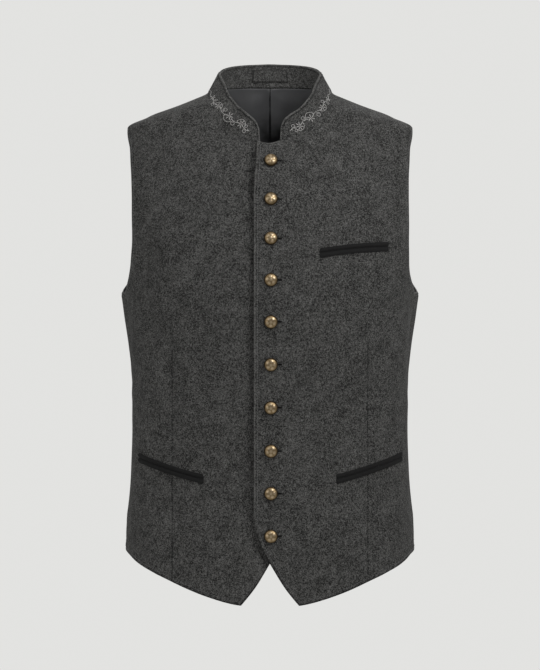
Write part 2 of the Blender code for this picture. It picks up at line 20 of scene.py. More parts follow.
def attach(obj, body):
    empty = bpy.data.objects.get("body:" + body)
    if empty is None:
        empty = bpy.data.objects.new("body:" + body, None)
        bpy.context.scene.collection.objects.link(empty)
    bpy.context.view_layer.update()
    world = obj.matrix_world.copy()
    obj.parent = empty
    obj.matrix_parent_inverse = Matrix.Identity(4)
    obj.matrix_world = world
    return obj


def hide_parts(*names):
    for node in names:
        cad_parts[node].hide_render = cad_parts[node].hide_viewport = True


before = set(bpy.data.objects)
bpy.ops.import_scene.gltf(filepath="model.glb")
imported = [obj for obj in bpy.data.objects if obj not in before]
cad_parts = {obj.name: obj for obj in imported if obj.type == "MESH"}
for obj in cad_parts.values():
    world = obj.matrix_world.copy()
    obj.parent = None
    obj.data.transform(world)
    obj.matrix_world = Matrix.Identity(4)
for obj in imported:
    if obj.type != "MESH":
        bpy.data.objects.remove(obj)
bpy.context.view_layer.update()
MM = 0.001
scene = bpy.context.scene

# %% [markdown]
# ## Camera, floor and light
#
# The photo is taken level and from far away, so the sides of the vest hardly converge. A long
# lens four metres off gives the same picture. A round pale floor lies well below the hem, and the
# sky is the pale grey of a studio wall. A small light panel stands close by to the right of the
# camera, so that the lapped edge shades the cloth on its left. Larger panels are further off,
# above, behind and on each side. A faint glow comes from all round, stronger from above.

# %% Camera
def in_scene(name, data):
    """A new object of the scene."""
    made = bpy.data.objects.new(name, data)
    scene.collection.objects.link(made)
    return made


PHOTO_HEIGHT = 670
PIXEL = 1.28 * MM
CAMERA_AWAY = 4.0
CAMERA_LEVEL = -0.2893
SENSOR = 36.0

camera_data = bpy.data.cameras.new("camera")
camera_data.sensor_fit = "VERTICAL"
camera_data.sensor_height = SENSOR
camera_data.lens = SENSOR * CAMERA_AWAY / (PHOTO_HEIGHT * PIXEL)
camera = in_scene("camera", camera_data)
camera.location = (0.0, -CAMERA_AWAY, CAMERA_LEVEL)
camera.rotation_euler = (math.pi / 2, 0.0, 0.0)
scene.camera = camera
scene.view_settings.view_transform = "Standard"
print("lens:", round(camera_data.lens, 1), "mm")


# %% Node helpers
def put(tree, kind, settings=None, sockets=None):
    """Adds a shader node, with its settings and with values or links on its sockets."""
    made = tree.nodes.new("ShaderNode" + kind)
    for key, value in (settings or {}).items():
        setattr(made, key, value)
    for key, value in (sockets or {}).items():
        if isinstance(value, bpy.types.NodeSocket):
            tree.links.new(value, made.inputs[key])
        else:
            made.inputs[key].default_value = value
    return made


def blend(tree, value, start, stop, low, high, soft=False):
    """Turns a value between start and stop into one between low and high."""
    made = put(tree, "MapRange", {"interpolation_type": "SMOOTHSTEP" if soft else "LINEAR"}, {
        "Value": value, "From Min": start, "From Max": stop, "To Min": low, "To Max": high,
    })
    return made.outputs["Result"]


def grey(value, tint=(1.0, 1.0, 1.0)):
    """A grey tone, tinted a little where a tint is given."""
    return (value * tint[0], value * tint[1], value * tint[2], 1.0)


# %% Floor and sky
FLOOR_LEVEL = -1.0
FLOOR_RADIUS = 2.4
FLOOR_SIDES = 96
PALE = (0.765, 0.765, 0.75)

floor_shape = bmesh.new()
bmesh.ops.create_circle(floor_shape, cap_ends=True, segments=FLOOR_SIDES, radius=FLOOR_RADIUS)
bmesh.ops.translate(floor_shape, vec=(0.0, 0.0, FLOOR_LEVEL), verts=floor_shape.verts)
floor_mesh = bpy.data.meshes.new("floor")
floor_shape.to_mesh(floor_mesh)
floor_shape.free()
floor = in_scene("floor", floor_mesh)

floor_finish = bpy.data.materials.new("pale_floor")
floor_finish.use_nodes = True
floor_shader = floor_finish.node_tree.nodes["Principled BSDF"]
floor_shader.inputs["Base Color"].default_value = (*PALE, 1.0)
floor_shader.inputs["Roughness"].default_value = 0.9
floor_mesh.materials.append(floor_finish)

AMBIENT_TOP = 0.50
AMBIENT_BOTTOM = 0.03
sky = bpy.data.worlds.new("studio")
scene.world = sky
sky.use_nodes = True
sky_tree = sky.node_tree
sky_tree.nodes.clear()
seen = put(sky_tree, "Background", None, {"Color": (*PALE, 1.0), "Strength": 1.0})
place = put(sky_tree, "TexCoord")
split = put(sky_tree, "SeparateXYZ", None, {0: place.outputs["Generated"]})
height = blend(sky_tree, split.outputs["Z"], -1.0, 1.0, AMBIENT_BOTTOM, AMBIENT_TOP)
glow = put(sky_tree, "Background", None, {
    "Color": (1.0, 0.995, 0.985, 1.0), "Strength": height,
})
ray = put(sky_tree, "LightPath")
either = put(sky_tree, "MixShader", None, {
    0: ray.outputs["Is Camera Ray"], 1: glow.outputs[0], 2: seen.outputs[0],
})
put(sky_tree, "OutputWorld", None, {"Surface": either.outputs[0]})
print("floor at", FLOOR_LEVEL, "m")

# %% Light panels
AIM = Vector((0.0, 0.0, -0.25))
# Each row: name, place and side length in metres, and power in watts.
LIGHTS = (
    ("key_panel", (0.56, -0.94, 0.42), 0.6, 5.3),
    ("top_panel", (-0.1, -1.3, 1.4), 1.2, 1.7),
    ("left_panel", (-2.0, -1.8, 0.4), 1.6, 7.0),
    ("right_panel", (2.6, -1.0, 0.2), 1.6, 1.5),
    ("back_panel", (0.4, 2.6, 1.6), 1.8, 26.0),
)
for name, spot, size, power in LIGHTS:
    light_data = bpy.data.lights.new(name, "AREA")
    light_data.shape = "SQUARE"
    light_data.size = size
    light_data.energy = power
    light = in_scene(name, light_data)
    light.location = spot
    light.rotation_euler = (AIM - Vector(spot)).to_track_quat("-Z", "Y").to_euler()
print("light panels:", len(LIGHTS))

# %% [markdown]
# ## Finishes
#
# Fulled wool is spun from dark and light fibres and then felted, so it looks mottled: specks one
# to three millimetres wide on a charcoal ground, with single pale hairs. Noise of three sizes
# gives the mottling, and thin ridges of another noise give the hairs. The shader's sheen is the
# fuzz that catches light along the sides. Everything reads Object coordinates, in metres, so a
# scale of 330 means about 330 specks in a metre. The pieces carry an attribute named edge, the
# distance from a free edge of the cloth. It presses a groove under the topstitching, darkened
# with painted shade, and lightens the rolled fold of the edge, as wear and as a painted
# highlight. Near the hem that fold is darkened with painted shade instead.
#
# The pressed seams are thin lines drawn by place, pressed in as relief and darkened with painted
# shade. In front they stand at one distance to each side and begin below the chest. Behind there
# is one, in the middle, up to the collar.


# %% Finish helpers
def new_finish(name):
    """A material with only a Principled shader, its tree, the shader and Object coordinates."""
    made = bpy.data.materials.new(name)
    made.use_nodes = True
    tree = made.node_tree
    where = put(tree, "TexCoord").outputs["Object"]
    return made, tree, tree.nodes["Principled BSDF"], where


def ramp(tree, value, stops):
    """A colour ramp through its stops, each a place and a colour."""
    made = put(tree, "ValToRGB", None, {"Fac": value})
    band = made.color_ramp
    band.elements[0].position = stops[0][0]
    band.elements[0].color = stops[0][1]
    band.elements[1].position = stops[-1][0]
    band.elements[1].color = stops[-1][1]
    for place_on_ramp, colour in stops[1:-1]:
        band.elements.new(place_on_ramp).color = colour
    return made.outputs["Color"]


def calc(tree, operation, first, second=0.0, third=0.0):
    return put(tree, "Math", {"operation": operation}, {0: first, 1: second, 2: third}).outputs[0]


def apart(tree, first, second):
    """How far two values lie apart."""
    return calc(tree, "ABSOLUTE", calc(tree, "SUBTRACT", first, second))


def noise_of(tree, where, scale, detail, roughness=0.5, distortion=0.0):
    return put(tree, "TexNoise", None, {
        "Vector": where, "Scale": scale, "Detail": detail, "Roughness": roughness,
        "Distortion": distortion,
    }).outputs["Fac"]


def slant_wave(tree, where, scale, distortion):
    """Fine slanting waves, as twill weave or twisted plies show."""
    return put(tree, "TexWave", {"bands_direction": "DIAGONAL"}, {
        "Vector": where, "Scale": scale, "Distortion": distortion, "Detail": 1.0,
    }).outputs["Fac"]


def relief(tree, height, strength, depth, under=None):
    """Relief from a height, on top of another relief if one is given."""
    sockets = {"Strength": strength, "Distance": depth, "Height": height}
    if under is not None:
        sockets["Normal"] = under
    return put(tree, "Bump", None, sockets).outputs[0]


def fill_shader(tree, shader, colour, normal, values):
    """Links the colour and the relief, and sets constants on the shader's own sockets."""
    tree.links.new(colour, shader.inputs["Base Color"])
    tree.links.new(normal, shader.inputs["Normal"])
    for key, value in values.items():
        shader.inputs[key].default_value = value


# %% Wool
WARM = (1.0, 0.995, 0.965)
# Each noise: scale, detail, roughness and distortion.
SPECK = (760.0, 1.0, 0.6, 0.5)
CLUMP = (330.0, 2.0, 0.6, 0.6)
CLOUD = (60.0, 3.0, 0.5, 0.3)
HAIR = (620.0, 1.0, 0.4, 1.8)
SPECK_SHARE = 0.56
CLUMP_SHARE = 0.30
CLOUD_SHARE = 0.14
HAIR_SHARE = 0.10
HAIR_HALF = 0.035
DARK_AT = 0.425
MIDDLE_AT = 0.52
LIGHT_AT = 0.645
MIDDLE_TONE = 0.38
NAP_SPECK = 0.7
NAP_HAIR = 0.35
# Each pair: the dark and the light tone of a wool.
PANEL_TONES = (0.012, 0.175)
# The inner collar is the panel wool in lighter tones: painted light inside the neck.
INNER_LIGHTENED_TONES = (0.036, 0.235)
PATCH_TONES = (0.040, 0.210)
STITCH_FROM_EDGE = 4.0 * MM
COLLAR_STITCH = 2.8 * MM
PATCH_INSET = 1.2 * MM
GROOVE_HALF = 1.1 * MM
# How dark the painted shade in the groove under the topstitching is: by default, on the panels and
# on the patch.
GROOVE_SHADE = 0.07
PANEL_GROOVE_SHADE = 0.015
PATCH_GROOVE_SHADE = 0.13
# The fold along a free edge is lighter, as wear and as a painted highlight; near the hem it is
# darker instead, as painted shade.
EDGE_FOLD_WIDTH = 2.2 * MM
EDGE_WEAR_AND_HIGHLIGHT = 0.07
HEM_FOLD_SHADE = -0.10
HEM_FROM = -500.0 * MM
HEM_TO = -545.0 * MM
DART_REACH = 122.5 * MM
DART_HALF = 1.5 * MM
# How dark the painted shade along the pressed seams is.
DART_SHADE = 0.06
DART_TOP = -275.0 * MM
DART_FULL = -300.0 * MM
BACK_SEAM_TOP = 30.0 * MM


def seam_lines(tree, axes):
    """One along the dart seams in front and along the centre back seam, fading to zero beside."""
    front = calc(tree, "LESS_THAN", axes["Y"], 0.0)
    line = calc(tree, "MULTIPLY", front, DART_REACH)
    beside = apart(tree, calc(tree, "ABSOLUTE", axes["X"]), line)
    line = blend(tree, beside, 0.0, DART_HALF, 1.0, 0.0, soft=True)
    sewn = blend(tree, axes["Z"], DART_TOP, DART_FULL, 0.0, 1.0)
    low = calc(tree, "LESS_THAN", axes["Z"], BACK_SEAM_TOP)
    sewn = calc(tree, "MULTIPLY_ADD", calc(tree, "SUBTRACT", sewn, low), front, low)
    return calc(tree, "MULTIPLY", line, sewn)


def wool_finish(name, tones, groove_at, groove_shade=GROOVE_SHADE):
    """Charcoal melange wool between a dark and a light tone, with a groove along its edge in
    painted shade.
    """
    made, tree, shader, where = new_finish(name)
    speck = noise_of(tree, where, *SPECK)
    clump = noise_of(tree, where, *CLUMP)
    cloud = noise_of(tree, where, *CLOUD)
    hair = noise_of(tree, where, *HAIR)
    fibre = blend(tree, apart(tree, hair, 0.5), HAIR_HALF, 0.0, 0.0, 1.0, soft=True)
    mottle_and_painted_light = calc(tree, "MULTIPLY", cloud, CLOUD_SHARE)
    mottle_and_painted_light = calc(tree, "MULTIPLY_ADD", clump, CLUMP_SHARE, mottle_and_painted_light)
    mottle_and_painted_light = calc(tree, "MULTIPLY_ADD", speck, SPECK_SHARE, mottle_and_painted_light)
    mottle_and_painted_light = calc(tree, "MULTIPLY_ADD", fibre, HAIR_SHARE, mottle_and_painted_light)
    edge = put(tree, "Attribute", {"attribute_name": "edge"}).outputs["Fac"]
    axes = put(tree, "SeparateXYZ", None, {0: where}).outputs
    # Painted highlight and wear on the fold of the edge, turning to painted shade near the hem.
    tone = blend(tree, axes["Z"], HEM_FROM, HEM_TO, EDGE_WEAR_AND_HIGHLIGHT, HEM_FOLD_SHADE)
    edge_fold = blend(tree, edge, 0.0, EDGE_FOLD_WIDTH, 1.0, 0.0, soft=True)
    mottle_and_painted_light = calc(tree, "MULTIPLY_ADD", edge_fold, tone, mottle_and_painted_light)
    # Painted shade along the dart seams and the centre back seam.
    dart = seam_lines(tree, axes)
    mottle_and_painted_light = calc(tree, "MULTIPLY_ADD", dart, -DART_SHADE, mottle_and_painted_light)
    # Painted shade in the groove under the topstitching.
    groove = blend(tree, apart(tree, edge, groove_at), 0.0, GROOVE_HALF, 0.0, 1.0, soft=True)
    mottle_and_painted_light = calc(tree, "SUBTRACT", mottle_and_painted_light, groove_shade)
    mottle_and_painted_light = calc(tree, "MULTIPLY_ADD", groove, groove_shade, mottle_and_painted_light)
    dark, light = tones
    colour = ramp(tree, mottle_and_painted_light, (
        (DARK_AT, grey(dark, WARM)),
        (MIDDLE_AT, grey((dark + light) * MIDDLE_TONE, WARM)),
        (LIGHT_AT, grey(light, WARM)),
    ))
    nap = calc(tree, "MULTIPLY", fibre, NAP_HAIR)
    nap = calc(tree, "MULTIPLY_ADD", speck, NAP_SPECK, nap)
    nap = relief(tree, nap, strength=0.75, depth=0.7 * MM)
    pressed = calc(tree, "SUBTRACT", groove, dart)
    pressed = relief(tree, pressed, strength=0.8, depth=0.6 * MM, under=nap)
    fill_shader(tree, shader, colour, pressed, {
        "Roughness": 0.95, "Specular IOR Level": 0.2, "Sheen Weight": 0.07,
        "Sheen Roughness": 0.5, "Sheen Tint": (0.8, 0.8, 0.78, 1.0),
    })
    return made


wool = wool_finish("charcoal_melange_wool", PANEL_TONES, STITCH_FROM_EDGE, PANEL_GROOVE_SHADE)
collar_wool = wool_finish("collar_melange_wool", PANEL_TONES, COLLAR_STITCH)
inner_wool = wool_finish("inner_collar_wool", INNER_LIGHTENED_TONES, COLLAR_STITCH)
patch_wool = wool_finish("patch_wool", PATCH_TONES, PATCH_INSET, PATCH_GROOVE_SHADE)
print("wool finishes made")

# %% [markdown]
# The lining is a smooth dark satin, with a soft stripe of its twill. Painted shade darkens it deep
# in the neck, and its centre pleat shows as a dark line of painted shade. The pocket lips are
# felt: black, dull and slightly fuzzy. Thread is twisted from two plies, which the fine slanting
# wave shows. The brass is cast and then darkened, and a vertex attribute says where that patina
# stays; it also carries painted shade round the rim of the dome.

# %% Satin, felt, thread and brass
# Painted shade along the lining's centre pleat, fainter high up, and deep in the neck.
PLEAT_CORE = 0.2 * MM
PLEAT_SHADE = 1.7 * MM
PLEAT_SHADE_DARKNESS = 0.9
PLEAT_FAINT = 0.35
PLEAT_TOP = 20.0 * MM
PLEAT_FULL = -30.0 * MM
INSIDE_TO = -32.0 * MM
NECK_SHADE_DARKNESS = 0.5
SATIN_STOPS = (
    (0.0, (0.006, 0.006, 0.007, 1.0)),
    (0.3, (0.088, 0.089, 0.092, 1.0)),
    (0.7, (0.122, 0.123, 0.127, 1.0)),
)
FELT_STOPS = ((0.3, grey(0.007)), (0.7, grey(0.017)))
BRASS_STOPS = (
    (0.20, (0.52, 0.41, 0.27, 1.0)),
    (0.50, (0.29, 0.21, 0.115, 1.0)),
    (1.00, (0.075, 0.05, 0.025, 1.0)),
)
STAIN_DARK = 0.35
DARK_ROUGH = 0.22
BRIGHT_ROUGH = 0.26
PLY_DARK = 0.7
PLY_LIGHT = 1.15


def satin_finish():
    made, tree, shader, where = new_finish("dark_lining_satin")
    shade = noise_of(tree, where, scale=35.0, detail=3.0)
    axes = put(tree, "SeparateXYZ", None, {0: where}).outputs
    deep = blend(tree, axes["Z"], PLEAT_TOP, PLEAT_FULL, PLEAT_FAINT, 1.0)
    aside = calc(tree, "ABSOLUTE", axes["X"])
    # Painted shade along the centre pleat.
    fold = blend(tree, aside, PLEAT_CORE, PLEAT_SHADE, PLEAT_SHADE_DARKNESS, 0.0, soft=True)
    shade = calc(tree, "SUBTRACT", shade, calc(tree, "MULTIPLY", fold, deep))
    # Painted shade deep in the neck.
    inside = blend(tree, axes["Z"], 0.0, INSIDE_TO, 0.0, NECK_SHADE_DARKNESS)
    shade = calc(tree, "SUBTRACT", shade, inside)
    twill = slant_wave(tree, where, scale=420.0, distortion=0.6)
    twill = relief(tree, twill, strength=0.25, depth=0.1 * MM)
    fill_shader(tree, shader, ramp(tree, shade, SATIN_STOPS), twill, {
        "Roughness": 0.42, "Sheen Weight": 0.15, "Sheen Roughness": 0.3,
    })
    return made


def felt_finish():
    made, tree, shader, where = new_finish("black_felt")
    fuzz = noise_of(tree, where, scale=900.0, detail=3.0, roughness=0.7)
    nap = relief(tree, fuzz, strength=0.6, depth=0.4 * MM)
    fill_shader(tree, shader, ramp(tree, fuzz, FELT_STOPS), nap, {
        "Roughness": 0.85, "Specular IOR Level": 0.2, "Sheen Weight": 0.03, "Sheen Roughness": 0.5,
    })
    return made


def thread_finish(name, tone, tint=(1.0, 1.0, 1.0), shine=1.0):
    made, tree, shader, where = new_finish(name)
    ply = slant_wave(tree, where, scale=900.0, distortion=1.5)
    colour = ramp(tree, ply, (
        (0.1, grey(tone * PLY_DARK, tint)),
        (0.9, grey(tone * PLY_LIGHT, tint)),
    ))
    twist = relief(tree, ply, strength=0.5, depth=0.15 * MM)
    fill_shader(tree, shader, colour, twist, {
        "Roughness": 0.6, "Specular IOR Level": 0.5 * shine, "Sheen Weight": 0.2 * shine,
    })
    return made


def brass_finish():
    made, tree, shader, where = new_finish("antique_brass")
    # Patina in the hollows and painted shade near the rim of the dome, read from the vertices.
    patina_and_shade = put(tree, "Attribute", {"attribute_name": "patina_and_shade"}).outputs["Fac"]
    stain = noise_of(tree, where, scale=500.0, detail=4.0, roughness=0.6)
    dark = calc(tree, "MULTIPLY_ADD", stain, STAIN_DARK, patina_and_shade)
    rough = calc(tree, "MULTIPLY_ADD", dark, DARK_ROUGH, BRIGHT_ROUGH)
    tree.links.new(rough, shader.inputs["Roughness"])
    pits = relief(tree, stain, strength=0.35, depth=0.08 * MM)
    fill_shader(tree, shader, ramp(tree, dark, BRASS_STOPS), pits, {"Metallic": 1.0})
    return made


satin = satin_finish()
felt = felt_finish()
sewing_thread = thread_finish("sewing_thread", tone=0.19)
dark_thread = thread_finish("buttonhole_thread", tone=0.034, shine=0.3)
# A nearly black strand without sheen: painted shade in the buttonhole slits.
slit_shade = thread_finish("buttonhole_slit", tone=0.008, shine=0.0)
light_thread = thread_finish("embroidery_thread", tone=0.62, tint=(1.0, 0.985, 0.96))
brass = brass_finish()
print("finishes:", len(bpy.data.materials))

# %% [markdown]
# ## From a solid to a cloth shell
#
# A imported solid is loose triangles. A copy is welded, its triangles are joined back to four-sided
# cells, and Subdivision Surface makes it smooth. That modifier pulls the cloth in where it curves,
# so the corners of the cage are pushed out until the smooth surface runs through the solid's own
# corners again. The rim is creased, so it keeps its place, and then its middle is moved out,
# which rolls the edge of the cloth as a turned and pressed fold does.

# %% Shell helpers
RIM_ANGLE = math.radians(38)
RIM_ROLL = 0.30
RIM_SLACK = 0.12
WELD = 1e-6
JOIN_BEND = math.radians(50)
JOIN_SKEW = math.radians(70)
FIT_ROUNDS = 5
CLOTH_HALF_WIDTH = 176.0
CLOTH_HALF_DEPTH = 110.0
OVAL = 1.3
AROUND_SCALE = 150.0
SHOULDER_FROM = 90.0
SHOULDER_OVER = 60.0
SHOULDER_MOST = 1.5
SHOULDER_RISE = 0.006
BODY_AXIS = Vector((0.0, 15.0 * MM, 0.0))


def outward_field(points):
    """The way out of the body at each point, level at the sides and rising over the shoulders."""
    x = points[:, 0] / MM / CLOTH_HALF_WIDTH
    y = points[:, 1] / MM / CLOTH_HALF_DEPTH
    z = points[:, 2] / MM
    out = np.stack([
        np.sign(x) * np.abs(x) ** OVAL / CLOTH_HALF_WIDTH,
        np.sign(y) * np.abs(y) ** OVAL / CLOTH_HALF_DEPTH,
        np.clip((z + SHOULDER_FROM) / SHOULDER_OVER, 0.0, SHOULDER_MOST) * SHOULDER_RISE,
    ], axis=1)
    return out / np.linalg.norm(out, axis=1)[:, None]


def corners(mesh):
    """The vertices of a mesh as an array."""
    found = np.empty(len(mesh.vertices) * 3)
    mesh.vertices.foreach_get("co", found)
    return found.reshape(-1, 3)


def set_corners(mesh, points):
    mesh.vertices.foreach_set("co", points.ravel())
    mesh.update()


def is_rim(face, wall):
    """True for a face across the wall's thickness: two opposite edges are as long as the wall."""
    short = [abs(edge.calc_length() - wall) < wall * RIM_SLACK for edge in face.edges]
    return len(short) == 4 and (short[0] and short[2] or short[1] and short[3])


def welded(node, wall):
    """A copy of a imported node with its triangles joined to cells, its rim creased and seamed."""
    shape = bmesh.new()
    shape.from_mesh(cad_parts[node].data)
    bmesh.ops.remove_doubles(shape, verts=shape.verts, dist=WELD)
    bmesh.ops.join_triangles(
        shape, faces=shape.faces, angle_face_threshold=JOIN_BEND, angle_shape_threshold=JOIN_SKEW,
    )
    crease = shape.edges.layers.float.new("crease_edge")
    rim = {face for face in shape.faces if is_rim(face, wall)}
    for edge in shape.edges:
        beside_rim = [face for face in edge.link_faces if face in rim]
        if len(beside_rim) == 1:
            cloth = next(face for face in edge.link_faces if face not in rim)
            out = cloth.calc_center_median() - BODY_AXIS
            edge[crease] = 1.0
            edge.seam = cloth.normal.x * out.x + cloth.normal.y * out.y > 0
        elif len(beside_rim) == 2 and edge.calc_face_angle(0.0) > RIM_ANGLE:
            edge[crease] = 1.0
    for face in rim:
        face.material_index = 1
    return shape


def smooth_shell(name, shape, levels):
    """An object whose smooth surface runs through the corners of the shape."""
    cage = bpy.data.meshes.new(name)
    shape.to_mesh(cage)
    shape.free()
    made = in_scene(name, cage)
    smooth = made.modifiers.new("smooth", "SUBSURF")
    smooth.levels = smooth.render_levels = 1
    wanted = corners(cage)
    for _ in range(FIT_ROUNDS):
        graph = bpy.context.evaluated_depsgraph_get()
        limit = corners(made.evaluated_get(graph).data)[:len(wanted)]
        set_corners(cage, corners(cage) + wanted - limit)
    smooth.levels = smooth.render_levels = levels
    graph = bpy.context.evaluated_depsgraph_get()
    made.data = bpy.data.meshes.new_from_object(made.evaluated_get(graph))
    made.modifiers.clear()
    made.data.name = name
    made.data.shade_smooth()
    bpy.data.meshes.remove(cage)
    return made


def outline(mesh):
    """The outer rim of a shell as lists of points, from its seamed edges."""
    points = corners(mesh)
    beside = {}
    for edge in mesh.edges:
        if edge.use_seam:
            first, second = edge.vertices
            beside.setdefault(first, []).append(second)
            beside.setdefault(second, []).append(first)
    loops = []
    while beside:
        here = min(beside)
        loop = []
        while here is not None:
            loop.append(here)
            ways = beside.pop(here)
            here = next((other for other in ways if other in beside), None)
        loops.append(points[loop])
    return loops


SEAM_REACH = 2.0 * MM
TWIN_STEP = Vector((0.0, 0.0, 1e-5))
PANEL_NODES = ("front_left", "front_right", "back_left", "back_right")
SEWN_TO = {
    "front_left": ("back_left", "collar_outer"),
    "front_right": ("back_right", "collar_outer"),
    "back_left": ("front_left", "back_right", "collar_outer"),
    "back_right": ("front_right", "back_left", "collar_outer"),
    "collar_outer": PANEL_NODES,
    "collar_inner": (*PANEL_NODES, "lining_left", "lining_right"),
}


def free_of(loop, node):
    """Tells for each point of a rim whether it is a free edge and not a seam."""
    seams = bmesh.new()
    for other in SEWN_TO.get(node, ()):
        seams.from_mesh(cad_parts[other].data)
    tree = BVHTree.FromBMesh(seams)
    seams.free()
    near = [tree.find_nearest(Vector(point))[3] for point in loop]
    return [gap is None or gap > SEAM_REACH for gap in near]


def rim_tree(loop, kept):
    """A search tree over the kept stretches of a rim."""
    ring = bmesh.new()
    verts = [ring.verts.new(point) for point in loop]
    twins = [ring.verts.new(Vector(point) + TWIN_STEP) for point in loop]
    for number in range(len(verts)):
        after = (number + 1) % len(verts)
        if kept[number] and kept[after]:
            ring.faces.new((verts[number], verts[after], twins[after], twins[number]))
    tree = BVHTree.FromBMesh(ring)
    ring.free()
    return tree


def set_edge_distance(made, node):
    """Stores how far each vertex is from a free edge. Returns the rim and the depth behind it."""
    loop = max(outline(made.data), key=len)
    free = free_of(loop, node)
    whole = rim_tree(loop, [True] * len(loop))
    open_edge = rim_tree(loop, free)
    spots = [vertex.co.copy() for vertex in made.data.vertices]
    distance = [open_edge.find_nearest(spot)[3] for spot in spots]
    made.data.attributes.new("edge", "FLOAT", "POINT").data.foreach_set("value", distance)
    return (loop, free), np.array([whole.find_nearest(spot)[3] for spot in spots])


def roll_rim(made, wall, distance):
    """Rounds the rim by moving its middle out. Returns which faces are cloth, not rim."""
    mesh = made.data
    faces = np.empty(len(mesh.polygons) * 4, dtype=int)
    mesh.loops.foreach_get("vertex_index", faces)
    kind = np.empty(len(mesh.polygons), dtype=int)
    mesh.polygons.foreach_get("material_index", kind)
    inside_rim = np.ones(len(mesh.vertices), dtype=bool)
    inside_rim[faces.reshape(-1, 4)[kind == 0].ravel()] = False
    out = np.empty(len(mesh.vertices) * 3)
    mesh.vertices.foreach_get("normal", out)
    share = np.clip(distance / wall, 0.0, 1.0)
    height = inside_rim * share * (1.0 - share) * 4.0 * RIM_ROLL * wall
    set_corners(mesh, corners(mesh) + out.reshape(-1, 3) * height[:, None])
    mesh.polygons.foreach_set("material_index", np.zeros(len(kind), dtype=int))
    return kind == 0


# %% [markdown]
# ## Creases
#
# Thick wool falls in few, soft and broad folds. Each row below is one crease: its place across
# the front or back and its level, how far it leans, its half length and half width, and its
# height, with troughs below zero. A place round the body is an arc from the centre front, so a
# crease can run over the side. Every face of a wall moves along the same field, so the wall
# keeps its thickness and the lining follows its back.
#
# Where the fronts lap, the upper edge stands off a little and the cloth beside it sinks. Both
# follow the edge, also where it slants away at the notch, and are strongest below the neck.

# %% Crease table
# Each row: around, level, lean in degrees, half length, half width and height, in millimetres.
CREASES = (
    (-156, -206, 8, 66, 26, -5.4), (-196, -250, -38, 40, 12, -1.8),
    (-170, -286, -46, 46, 14, 1.6), (-112, -190, 10, 74, 24, 2.4),
    (-205, -330, 78, 36, 9, -1.5), (-198, -362, 84, 42, 10, 1.2),
    (-206, -392, 82, 34, 9, -1.2), (-118, -340, 3, 82, 15, -2.3),
    (-82, -318, -3, 104, 19, 1.4), (-150, -352, 5, 70, 17, 1.2),
    (-48, -402, 2, 92, 13, -0.8), (-92, -150, 14, 60, 24, 1),
    (-128, -104, 22, 44, 18, -1.1), (-70, -560, 6, 52, 17, 1.3),
    (-118, -540, 2, 60, 14, -2), (-156, -540, -4, 52, 18, 1.4),
    (172, -212, -6, 50, 18, -2), (196, -262, 36, 40, 12, -1.4),
    (164, -286, 42, 46, 14, 1.2), (204, -346, -80, 38, 10, -1.4),
    (200, -380, -84, 36, 10, 1), (119, -348, -2, 88, 14, -2.2),
    (84, -330, 4, 92, 19, 1.1), (148, -340, -6, 70, 16, 1.1),
    (96, -128, -16, 58, 22, 0.9), (132, -100, -24, 44, 17, -1),
    (82, -552, -5, 50, 16, 1.2), (119, -546, -2, 52, 14, -1.9),
    (156, -540, 5, 50, 16, 1.6), (-224, -562, 0, 26, 17, 3.2),
    (224, -562, 0, 26, 17, 3.2), (-438, -330, 4, 120, 20, -2.2),
    (-396, -360, -6, 110, 22, 1.9), (-352, -300, 10, 90, 20, -2),
    (-300, -236, 34, 46, 14, -2), (-322, -262, 30, 52, 15, 1.6),
    (-286, -352, 82, 44, 10, -1.7), (-292, -386, 78, 46, 11, 1.4),
    (-420, -108, 86, 70, 14, -1.4), (-340, -540, 3, 52, 18, 1.8),
    (-400, -530, -2, 56, 19, -1.7), (432, -318, -5, 116, 20, -1.9),
    (388, -350, 5, 108, 22, 1.8), (346, -308, -9, 92, 20, -2.1),
    (304, -240, -32, 48, 14, -1.8), (328, -268, -34, 50, 15, 1.5),
    (288, -362, -80, 42, 10, -1.6), (424, -120, -84, 66, 14, -1.3),
    (344, -536, -3, 52, 17, -1.7), (404, -540, 3, 54, 18, 1.9),
)
CREASE_BEND = 0.35
CREASE_WAVES = 2.0
SLUB = 0.35
SLUB_SIZE = 24.0
SLUB_SQUASH = 0.6
CALM_FROM = 40.0
CALM_OVER = 60.0


def around_and_level(points):
    """Places on the cloth: the arc from the centre front and the level, in millimetres."""
    x = points[:, 0] / MM / CLOTH_HALF_WIDTH
    y = points[:, 1] / MM / CLOTH_HALF_DEPTH
    return np.arctan2(x, -y) * AROUND_SCALE, points[:, 2] / MM


def crease_height(points):
    """How far the creases lift the cloth at each point, in metres."""
    around, level = around_and_level(points)
    lift = np.zeros(len(points))
    for at, height, lean, half_length, half_width, rise in CREASES:
        turn = math.radians(lean)
        across = (around - at) * math.cos(turn) + (level - height) * math.sin(turn)
        along = (level - height) * math.cos(turn) - (around - at) * math.sin(turn)
        bend = half_width * CREASE_BEND * np.sin(along / half_length * CREASE_WAVES + at)
        lift += rise * np.exp(-((across - bend) / half_width) ** 2 - (along / half_length) ** 2)
    flat_places = np.stack([around, level * SLUB_SQUASH, np.zeros(len(points))], axis=1)
    lift += SLUB * np.array([noise.noise(Vector(spot)) for spot in flat_places / SLUB_SIZE])
    calm = np.clip((-level - CALM_FROM) / CALM_OVER, 0.0, 1.0)
    return lift * calm * MM


# %% The lap of the fronts
# Each lap: across, half width and height, in millimetres.
LAPS = {"front_left": (-20.0, 8.0, 1.9), "front_right": (-21.5, 8.0, -3.6)}
LAP_TOP = -47.0
LAP_FADE = 15.0
LAP_TURN = -519.0
LAP_SLOPE = 0.75
LAP_ROUND = 44.2
LAP_DEEP = 0.8
LAP_DEEP_AT = -88.0
LAP_DEEP_HALF = 42.0


